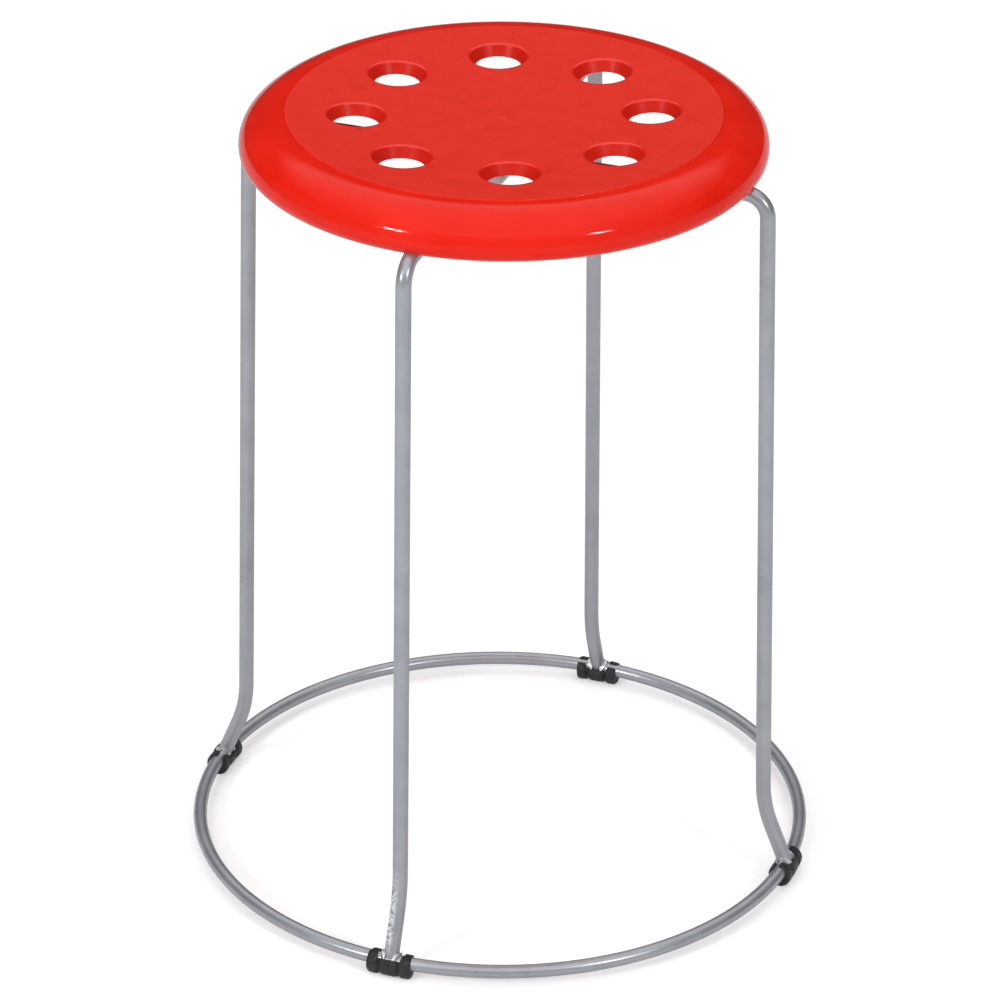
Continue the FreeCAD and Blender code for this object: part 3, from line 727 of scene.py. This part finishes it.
def saddle_parts(turn):
    """Two cheeks and three cross ribs that sit on a rod, inside the rim."""
    foot = ROD_HEIGHT + SADDLE_GRIP
    start_top = plate_under(SADDLE_START) - SADDLE_SINK
    curve = [point for point in rim_points(WALL / 2, INNER_STEPS) if point[1] > foot]
    cheek = [(SADDLE_START, foot), (curve[-1][0], foot)] + curve[::-1] + [(SADDLE_START, start_top)]
    parts = []
    for side in (-1, 1):
        beside = side * (SADDLE_WIDTH - RIB_WALL) / 2
        part = extruded("saddle_cheek", cheek, RIB_WALL, SLAB_BEVEL)
        parts.append(set_down(part, turn, (0, beside, 0)))
    span = (WIDEST - WALL - SADDLE_START - 4 * RIB_WALL) / 2
    for index in range(3):
        start = SADDLE_START + index * (RIB_WALL + span)
        end = start + RIB_WALL
        middle = start + RIB_WALL / 2
        top = start_top
        if middle > curve[0][0]:
            top = max(z for x, z in curve if x >= middle) - SADDLE_RIB_SINK
        outline = [(start, foot), (end, foot), (end, top), (start, top)]
        part = extruded("saddle_rib", outline, SADDLE_WIDTH - SADDLE_RIB_INSET, SLAB_BEVEL)
        parts.append(set_down(part, turn))
    return parts


def boss(turn):
    """A tapered screw boss with its bore, standing on a tab."""
    top = plate_under(BOSS_REACH)
    obj = spun("screw_boss", [
        (BOSS_BORE, top),
        (BOSS_BORE, TAB_TOP + BORE_EDGE),
        (BOSS_BORE + BORE_EDGE, TAB_TOP),
        (BOSS_RADIUS - BOSS_EDGE, TAB_TOP),
        (BOSS_RADIUS, TAB_TOP + BOSS_EDGE),
        (BOSS_RADIUS + BOSS_DRAFT, top),
        (BOSS_BORE, top),
    ], BOSS_STEPS)
    return set_down(obj, turn, (BOSS_REACH, BOSS_OFFSET, 0))


def rod_cutter(turn):
    """The shape of a rod's channel, open below, right across the seat."""
    half = LEG_ROD + ROD_FIT
    low = ROD_HEIGHT - 2 * LEG_ROD
    outline = [(half, low), (half, ROD_HEIGHT)]
    outline += arc(0.0, ROD_HEIGHT, half, 0.0, math.pi, CHANNEL_STEPS)
    outline += [(-half, low)]
    return set_down(extruded("rod_cutter", outline, 2 * WIDEST), turn)


def make_seat():
    """The moulded seat with its holes, and the ribs, saddles and bosses below."""
    seat = spun("seat_shell", seat_profile(), SEAT_STEPS)
    for turn, tilt, spot in hole_centres():
        cut_hole(seat, turn, tilt, spot)
    take(seat)
    bpy.ops.object.mode_set(mode="EDIT")
    face_outward()
    bpy.ops.object.mode_set(mode="OBJECT")
    cutters = [rod_cutter(0.0), rod_cutter(QUARTER)]
    carve(seat, cutters)
    under = [rib_ring("hub", HUB_RADIUS, ROD_HEIGHT + LEG_ROD + HUB_CLEARANCE)]
    under += [rib_ring("rib_circle", radius, RIB_FOOT) for radius in RIB_CIRCLES]
    under += [radial_rib(math.tau * i / HOLES) for i in range(HOLES)]
    for index in range(4):
        turn = QUARTER * index
        under += [carve(part, cutters) for part in saddle_parts(turn)]
        under.append(boss(turn))
    for cutter in cutters:
        bpy.data.objects.remove(cutter)
    return join(seat, under)


# Frame

def rod_line(route):
    """Points along a route of (corner, bend radius), with each bend as an arc."""
    points = []
    for index, (corner, bend) in enumerate(route):
        if not bend:
            points.append(corner)
            continue
        before = (route[index - 1][0] - corner).normalized()
        after = (route[index + 1][0] - corner).normalized()
        turn = math.pi - before.angle(after)
        reach = bend * math.tan(turn / 2)
        centre = corner + (before + after).normalized() * bend / math.cos(turn / 2)
        start = corner + before * reach - centre
        axis = start.cross(corner + after * reach - centre).normalized()
        steps = max(6, round(turn / BEND_STEP))
        for step in range(steps + 1):
            points.append(centre + Matrix.Rotation(turn * step / steps, 3, axis) @ start)
    return points


def smooth_rod(name, route, radius):
    """A round rod along a route, in millimetres, with flat ends."""
    points = rod_line(route)
    curve = bpy.data.curves.new(name, "CURVE")
    curve.dimensions = "3D"
    curve.bevel_depth = radius * MM
    curve.bevel_resolution = ROD_ROUNDNESS
    curve.use_fill_caps = True
    curve.twist_mode = "MINIMUM"
    spline = curve.splines.new("POLY")
    spline.points.add(len(points) - 1)
    for spot, point in zip(spline.points, points):
        spot.co = (*(point * MM), 1.0)
    take(link(bpy.data.objects.new(name, curve)))
    bpy.ops.object.convert(target="MESH")
    return bpy.context.active_object


def hoop_half():
    """Corners of half a hoop from the top bend down to the ring, as (out, up), bend."""
    lean, flare = math.tan(LEAN), math.tan(FLARE)
    knee_z = RING_RADIUS - KNEE_RADIUS + flare * RING_HEIGHT - lean * KNEE_HEIGHT
    knee_z /= flare - lean
    knee_x = RING_RADIUS - flare * (knee_z - RING_HEIGHT)
    corner_x = KNEE_RADIUS - lean * (ROD_HEIGHT - KNEE_HEIGHT)
    end_x = RING_RADIUS - LEG_END_GAP * math.sin(FLARE)
    end_z = RING_HEIGHT + LEG_END_GAP * math.cos(FLARE)
    return [((corner_x, ROD_HEIGHT), TOP_BEND), ((knee_x, knee_z), FLARE_BEND), ((end_x, end_z), 0)]


def dip_half():
    """Corners of half the dip under the other rod, from the axis outward."""
    turn = math.acos(1 - 2 * LEG_ROD / (2 * DIP_BEND))
    reach = DIP_BEND * math.tan(turn / 2)
    low = (DIP_FLAT + reach, ROD_HEIGHT - 2 * LEG_ROD)
    high = (DIP_FLAT + 2 * DIP_BEND * math.sin(turn) - reach, ROD_HEIGHT)
    return [(low, DIP_BEND), (high, DIP_BEND)]


def make_hoop(name, dipped, turn):
    """One bent rod: two legs and the run under the seat."""
    half = (dip_half() if dipped else []) + hoop_half()
    sides = [((-x, z), bend) for (x, z), bend in half[::-1]] + half
    spin = Matrix.Rotation(turn, 3, "Z")
    route = [(spin @ Vector((x, 0, z)), bend) for (x, z), bend in sides]
    return smooth_rod(name, route, LEG_ROD)


def make_ring():
    """The floor ring."""
    deselect()
    bpy.ops.mesh.primitive_torus_add(
        location=(0, 0, RING_HEIGHT * MM),
        major_radius=RING_RADIUS * MM,
        minor_radius=RING_ROD * MM,
        major_segments=RING_STEPS,
        minor_segments=RING_SIDES,
    )
    return bake_place(name_new("floor_ring_rod"))


# Feet

def foot_swell(place):
    """How far the skin stands back at a place along the foot: in the grooves, toward the
    edges of the barrel bands and round the ends."""
    back = 0.0
    for groove in FOOT_GROOVES:
        off = abs(place - groove) / GROOVE_HALF
        if off < 1:
            back = max(back, GROOVE_DEPTH * (1 - off * off) ** 1.5)
    for middle, half in FOOT_BANDS:
        off = (place - middle) / half
        if abs(off) < 1:
            back = max(back, BARREL_DEPTH * off ** 4)
    past = FOOT_END_ROUND - (FOOT_HALF - abs(place))
    if past > 0:
        level = math.sqrt(max(0.0, FOOT_END_ROUND ** 2 - past ** 2))
        back = max(back, FOOT_END_ROUND - level + FOOT_END_STEP)
    return back


def foot_tips(place):
    """Angles at which the section begins and ends, wider apart where the leg stands."""
    beside = (abs(place) - NOTCH_HALF + NOTCH_EASE) / (2 * NOTCH_EASE)
    beside = max(0.0, min(1.0, beside))
    ease = beside * beside * (3 - 2 * beside)
    outer, inner = (
        math.radians(at_leg + (past_leg - at_leg) * ease)
        for at_leg, past_leg in zip(TIPS_AT_LEG, TIPS_BESIDE_LEG)
    )
    return outer, inner - math.tau


def foot_section(place):
    """The foot's C-shaped outline across the ring at a place along it."""
    back = foot_swell(place)
    outer_tip, inner_tip = foot_tips(place)
    wide = FOOT_WIDE - back
    tall = FOOT_TALL - back
    grip = RING_ROD + FOOT_FIT
    skin = []
    bore = []
    for step in range(FOOT_SKIN + 1):
        share = step / FOOT_SKIN
        turn = outer_tip + (inner_tip - outer_tip) * share
        up = max(0.0, FOOT_MIDDLE + tall * math.sin(turn))
        skin.append((wide * math.cos(turn), up))
        turn = inner_tip + (outer_tip - inner_tip) * share
        bore.append((grip * math.cos(turn), RING_HEIGHT + grip * math.sin(turn)))
    return skin + tip(skin[-1], bore[0]) + bore + tip(bore[-1], skin[0])


def tip(start, end):
    """A round end between two points, bulging to the left of the way between them."""
    middle = ((start[0] + end[0]) / 2, (start[1] + end[1]) / 2)
    arm = (start[0] - middle[0], start[1] - middle[1])
    side = (arm[1], -arm[0])
    points = []
    for step in range(1, TIP_STEPS):
        turn = math.pi * step / TIP_STEPS
        points.append((
            middle[0] + arm[0] * math.cos(turn) + TIP_BULGE * side[0] * math.sin(turn),
            middle[1] + arm[1] * math.cos(turn) + TIP_BULGE * side[1] * math.sin(turn),
        ))
    return points


def foot_loop(mesh, place, turn):
    """The vertices of one section of the foot, with the skin wrinkled above the sole."""
    bend = Matrix.Rotation(turn + place / RING_RADIUS, 3, "Z")
    loop = []
    for number, (out, up) in enumerate(foot_section(place)):
        spot = bend @ Vector((RING_RADIUS + out, 0, up))
        if number <= FOOT_SKIN and up > SOLE_SMOOTH and out < FOOT_WIDE - SIDE_SMOOTH:
            push = sum(lumps.noise(spot * density) * height for density, height in WRINKLES)
            away = Vector((out, up - RING_HEIGHT)).normalized() * push
            spot = bend @ Vector((RING_RADIUS + out + away.x, 0, max(0.0, up + away.y)))
        loop.append(mesh.verts.new(spot * MM))
    return loop


def make_foot(side, turn):
    """A clip foot: three wrinkled barrel bands bent along the ring, open above."""
    mesh = bmesh.new()
    places = [-FOOT_HALF + 2 * FOOT_HALF * i / FOOT_STEPS for i in range(FOOT_STEPS + 1)]
    loops = [foot_loop(mesh, place, turn) for place in places]
    count = len(loops[0])
    for first, second in zip(loops, loops[1:]):
        for number in range(count):
            after = (number + 1) % count
            mesh.faces.new((first[number], first[after], second[after], second[number]))
    mesh.faces.new(loops[0][::-1])
    mesh.faces.new(loops[-1])
    bmesh.ops.recalc_face_normals(mesh, faces=mesh.faces)
    name = f"foot_clip_{side}"
    data = bpy.data.meshes.new(name)
    mesh.to_mesh(data)
    mesh.free()
    return link(bpy.data.objects.new(name, data))


# Finishes, pieces and what they stand for

def finish_piece(obj, node, materials, angle=40.0):
    """Gives a piece its materials and smooth shading, with edges past an angle in degrees
    left sharp, and lets it stand for a node."""
    obj.data.materials.clear()
    for material in materials:
        obj.data.materials.append(material)
    take(obj)
    bpy.ops.object.shade_smooth_by_angle(angle=math.radians(angle))
    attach(obj, "root")
    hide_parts(node)


def seat_faces(seat):
    """Gives the dish, the holes' edges and the holes' walls their materials. The rest
    keeps the rim's."""
    centres = [spot for _, _, spot in hole_centres()]
    for face in seat.data.polygons:
        middle = face.center
        radius = math.hypot(middle.x, middle.y) / MM
        below = DISH_LOW + dish_height(radius) - middle.z / MM
        from_hole = min((middle - spot).length for spot in centres) / MM
        if from_hole <= HOLE_MOUTH + HOLE_MARGIN:
            face.material_index = HOLE_EDGE if below < HOLE_EDGE_DEPTH else HOLE_WALL
        elif radius < DISH_EDGE and below < PLATE_DEPTH:
            face.material_index = PLATE
        else:
            face.material_index = RIM


def dress():
    """Makes every visible piece and gives the solids that stay their finish."""
    paint = rod_paint()
    rim = rim_plastic("seat_rim_polished", RIM_RED, rough=(0.06, 0.11), gloss=0.16)
    # The holes' walls get a darker red, which paints the shade inside the holes
    wall = rim_plastic("seat_hole_wall", HOLE_RED_PAINTED_SHADE, rough=(0.26, 0.36), gloss=0.12)
    edge = rim_plastic("seat_hole_edge", RIM_RED, rough=(0.16, 0.24), gloss=0.55)
    plate = plate_plastic()
    seat = make_seat()
    finish_piece(seat, "seat", [rim, plate, wall, edge], angle=30.0)
    seat_faces(seat)
    hoop = make_hoop("hoop_rod_left_right", False, 0.0)
    finish_piece(hoop, "leg_hoop_left_right", [paint])
    hoop = make_hoop("hoop_rod_front_back", True, QUARTER)
    # The front hoop's paint has chips and a painted highlight low on the front leg
    finish_piece(hoop, "leg_hoop_front_back", [rod_paint(chipped_and_highlit=True)])
    finish_piece(make_ring(), "floor_ring", [paint])
    weld = weld_metal()
    finishes = {"crossing_weld": weld, "seat_screws": screw_metal()}
    foot = foot_plastic()
    for index, side in enumerate(("right", "back", "left", "front")):
        clip = make_foot(side, index * QUARTER)
        finish_piece(clip, f"foot_{side}", [foot])
        finishes[f"seat_tab_{side}"] = paint
        finishes[f"leg_weld_{side}"] = weld
    for node, material in finishes.items():
        NODES[node].data.materials.clear()
        NODES[node].data.materials.append(material)


# Studio

def backdrop_material():
    """White to the camera, plain white paint otherwise."""
    material, tree, shader = new_material("floor_white")
    shader.inputs["Base Color"].default_value = (FLOOR_WHITE, FLOOR_WHITE, FLOOR_WHITE, 1)
    shader.inputs["Roughness"].default_value = FLOOR_ROUGH
    glow = tree.nodes.new("ShaderNodeEmission")
    path = tree.nodes.new("ShaderNodeLightPath")
    scale = add(tree, "ShaderNodeMath", operation="MULTIPLY")
    scale.inputs[1].default_value = FLOOR_GLOW
    tree.links.new(path.outputs["Is Camera Ray"], scale.inputs[0])
    tree.links.new(scale.outputs[0], glow.inputs["Strength"])
    total = tree.nodes.new("ShaderNodeAddShader")
    out = next(node for node in tree.nodes if node.type == "OUTPUT_MATERIAL")
    tree.links.new(shader.outputs[0], total.inputs[0])
    tree.links.new(glow.outputs[0], total.inputs[1])
    tree.links.new(total.outputs[0], out.inputs["Surface"])
    return material


def make_floor():
    """The floor."""
    deselect()
    bpy.ops.mesh.primitive_plane_add(size=FLOOR_SIZE)
    floor = name_new("studio_floor")
    floor.data.materials.append(backdrop_material())


def softbox(name, spot, power):
    """A white rectangular lamp at a spot, turned to the stool."""
    data = bpy.data.lights.new(name, "AREA")
    data.shape = "RECTANGLE"
    data.size = LAMP_WIDTH
    data.size_y = LAMP_HEIGHT
    data.energy = power
    lamp = link(bpy.data.objects.new(name, data))
    lamp.location = spot
    lamp.rotation_euler = (Vector(LAMP_AIM) - Vector(spot)).to_track_quat("-Z", "Y").to_euler()


def world_part(tree, direction, span, values):
    """A number that changes softly between two values while the part of the ray that
    points in a direction goes through a span."""
    where = tree.nodes.new("ShaderNodeTexCoord").outputs["Generated"]
    dot = add(tree, "ShaderNodeVectorMath", operation="DOT_PRODUCT")
    dot.inputs[1].default_value = direction
    tree.links.new(where, dot.inputs[0])
    node = add(tree, "ShaderNodeMapRange", interpolation_type="SMOOTHSTEP")
    tree.links.new(dot.outputs["Value"], node.inputs["Value"])
    node.inputs["From Min"].default_value = span[0]
    node.inputs["From Max"].default_value = span[1]
    node.inputs["To Min"].default_value = values[0]
    node.inputs["To Max"].default_value = values[1]
    return node.outputs["Result"]


def make_light():
    """A room with a wide soft ceiling light, dim walls and two small lamps."""
    world = bpy.data.worlds.new("studio_room")
    bpy.context.scene.world = world
    world.use_nodes = True
    tree = world.node_tree
    toward = (math.sin(CAMERA_AZIMUTH), -math.cos(CAMERA_AZIMUTH), 0.0)
    beside = (math.cos(CAMERA_AZIMUTH), math.sin(CAMERA_AZIMUTH), 0.0)
    ceiling = world_part(tree, (0, 0, 1), span=(0.50, 0.66), values=(0.0, 1.17))
    far_left = world_part(tree, beside, span=(-0.98, -0.9), values=(0.5, 0.0))
    front = world_part(tree, toward, span=(-0.05, 0.45), values=(1.0, 0.70))
    right = world_part(tree, beside, span=(0.35, 0.75), values=(1.0, 0.30))
    left = world_part(tree, beside, span=(-0.75, -0.35), values=(0.30, 1.0))
    horizon = world_part(tree, toward, span=(-0.2, 0.7), values=(0.05, 0.46))
    lit = product(tree, combined(tree, "ADD", ceiling, far_left), front, right, left)
    room = combined(tree, "ADD", lit, horizon)
    path = tree.nodes.new("ShaderNodeLightPath")
    seen = add(tree, "ShaderNodeMix")
    tree.links.new(path.outputs["Is Camera Ray"], seen.inputs["Factor"])
    tree.links.new(room, seen.inputs["A"])
    seen.inputs["B"].default_value = 1.0
    back = next(node for node in tree.nodes if node.type == "BACKGROUND")
    back.inputs["Color"].default_value = (1, 1, 1, 1)
    tree.links.new(seen.outputs["Result"], back.inputs["Strength"])
    for name, (spot, power) in LAMPS.items():
        softbox(name, spot, power)


def make_camera():
    """The camera looks level at the stool's axis, then down by its pitch."""
    data = bpy.data.cameras.new("photo_view")
    data.lens = CAMERA_LENS
    data.sensor_width = CAMERA_SENSOR
    data.clip_end = CAMERA_FAR
    camera = link(bpy.data.objects.new("photo_view", data))
    place = Matrix.Translation((
        CAMERA_DISTANCE * math.sin(CAMERA_AZIMUTH),
        -CAMERA_DISTANCE * math.cos(CAMERA_AZIMUTH),
        CAMERA_HEIGHT,
    ))
    level = Matrix.Rotation(CAMERA_AZIMUTH + CAMERA_YAW, 4, "Z") @ Matrix.Rotation(QUARTER, 4, "X")
    pitch = Matrix.Rotation(-CAMERA_PITCH, 4, "X")
    roll = Matrix.Rotation(CAMERA_ROLL, 4, "Z")
    camera.matrix_world = place @ level @ pitch @ roll
    bpy.context.scene.camera = camera


make_camera()
dress()
make_floor()
make_light()
bpy.context.scene.view_settings.view_transform = "Standard"
